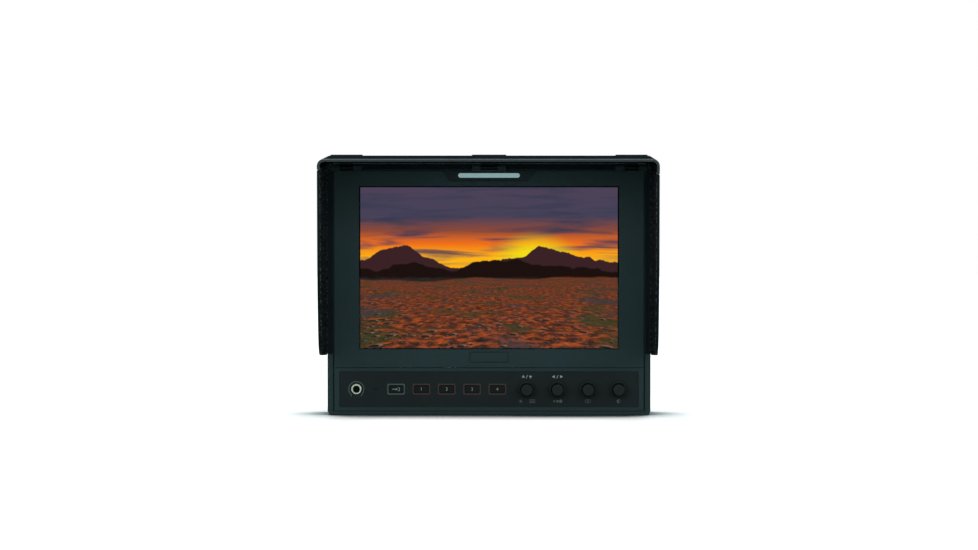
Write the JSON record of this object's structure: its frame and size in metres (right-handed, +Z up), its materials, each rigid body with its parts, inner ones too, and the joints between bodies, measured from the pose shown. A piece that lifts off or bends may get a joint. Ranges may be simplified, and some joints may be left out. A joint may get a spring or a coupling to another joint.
{
  "type": "camera field monitor with sun hood",
  "caption": "Flat screen monitor for a camera, with a row of keys and knobs below the screen and a sun hood whose wings fold under its cover before it closes.",
  "frame": {"origin": "mouth of the tripod thread, in the middle of the base", "axes": "+X to the viewer's right across the width, +Y to the back, +Z up; the screen faces -Y"},
  "size_m": [0.1936, 0.141, 0.1528],
  "materials": {
    "housing_black": "fine matt paint",
    "panel_grey": "fine matt",
    "hood_black": "satin",
    "grained_liner": "pebble grain",
    "screen_glass": "clear, gloss",
    "picture": "lit picture",
    "backlight_white": "matt",
    "tally_diffuser": "translucent",
    "board_green": "solder mask",
    "steel": "plain",
    "screw_black": "black oxide",
    "brass": "turned",
    "nickel": "nickel plate",
    "socket_black": "matt",
    "sensor_dark": "gloss",
    "key_black": "matt",
    "ring_pale": "matt",
    "ring_red": "matt",
    "knob_black": "matt"
  },
  "bodies": {
    "body": {"backlight": "backlight_white", "bezel": "panel_grey", "bnc_sockets": "nickel", "case_screws": "screw_black", "catch_insert": "panel_grey", "catch_magnet": "steel", "control_board": "board_green", "control_panel": "panel_grey", "cover_glass": "screen_glass", "cover_pins": "steel", "dc_socket": "socket_black", "encoders": "socket_black", "front_frame": "housing_black", "function_key_rings": "ring_red", "hdmi_socket": "nickel", "headphone_jack": "socket_black", "input_key_ring": "ring_pale", "jack_ring": "nickel", "key_switches": "socket_black", "main_board": "board_green", "mount_inserts": "brass", "picture_cell": "picture", "rear_housing": "housing_black", "sensor_window": "sensor_dark", "tally_board": "board_green", "tally_lens": "tally_diffuser", "tripod_insert": "brass"},
    "cover": {"hood_cover": "hood_black", "cover_liner": "grained_liner", "left_wing_pin": "steel", "right_wing_pin": "steel"},
    "left_wing": {"left_wing": "hood_black", "left_wing_liner": "grained_liner"},
    "right_wing": {"right_wing": "hood_black", "right_wing_liner": "grained_liner"},
    "push_plunger": {"push_plunger": "steel"},
    "knob_1": {"knob_1": "knob_black", "knob_shaft_1": "steel"},
    "knob_2": {"knob_2": "knob_black", "knob_shaft_2": "steel"},
    "knob_3": {"knob_3": "knob_black", "knob_shaft_3": "steel"},
    "knob_4": {"knob_4": "knob_black", "knob_shaft_4": "steel"},
    "input_key": {"input_key": "key_black"},
    "function_key_1": {"function_key_1": "key_black"},
    "function_key_2": {"function_key_2": "key_black"},
    "function_key_3": {"function_key_3": "key_black"},
    "function_key_4": {"function_key_4": "key_black"}
  },
  "joints": [
    {"name": "cover_fold", "type": "hinge", "parent": "body", "child": "cover", "pos_m": [0, -0.0181, 0.1454], "axis": [1, 0, 0], "range_deg": [0, 90]},
    {"name": "left_wing_fold", "type": "hinge", "parent": "cover", "child": "left_wing", "pos_m": [-0.0958, -0.0205, 0.1468], "axis": [0, -1, 0], "range_deg": [0, 90]},
    {"name": "right_wing_fold", "type": "hinge", "parent": "cover", "child": "right_wing", "pos_m": [0.0958, -0.0205, 0.1443], "axis": [0, 1, 0], "range_deg": [0, 90]},
    {"name": "input_key_press", "type": "slide", "parent": "body", "child": "input_key", "axis": [0, 1, 0], "range_m": [0, 0.0005], "stiffness_N_per_m": 1500},
    {"name": "function_key_1_press", "type": "slide", "parent": "body", "child": "function_key_1", "axis": [0, 1, 0], "range_m": [0, 0.0005], "stiffness_N_per_m": 1500},
    {"name": "function_key_2_press", "type": "slide", "parent": "body", "child": "function_key_2", "axis": [0, 1, 0], "range_m": [0, 0.0005], "stiffness_N_per_m": 1500},
    {"name": "function_key_3_press", "type": "slide", "parent": "body", "child": "function_key_3", "axis": [0, 1, 0], "range_m": [0, 0.0005], "stiffness_N_per_m": 1500},
    {"name": "function_key_4_press", "type": "slide", "parent": "body", "child": "function_key_4", "axis": [0, 1, 0], "range_m": [0, 0.0005], "stiffness_N_per_m": 1500},
    {"name": "knob_1_push", "type": "slide", "parent": "body", "child": "push_plunger", "axis": [0, 1, 0], "range_m": [0, 0.0005], "stiffness_N_per_m": 2500},
    {"name": "knob_1_turn", "type": "hinge", "parent": "push_plunger", "child": "knob_1", "pos_m": [0.0222, -0.0155, 0.01525], "axis": [0, -1, 0], "continuous": true},
    {"name": "knob_2_turn", "type": "hinge", "parent": "body", "child": "knob_2", "pos_m": [0.04015, -0.0155, 0.01525], "axis": [0, -1, 0], "continuous": true},
    {"name": "knob_3_turn", "type": "hinge", "parent": "body", "child": "knob_3", "pos_m": [0.0581, -0.0155, 0.01525], "axis": [0, -1, 0], "continuous": true},
    {"name": "knob_4_turn", "type": "hinge", "parent": "body", "child": "knob_4", "pos_m": [0.07605, -0.0155, 0.01525], "axis": [0, -1, 0], "continuous": true}
  ]
}
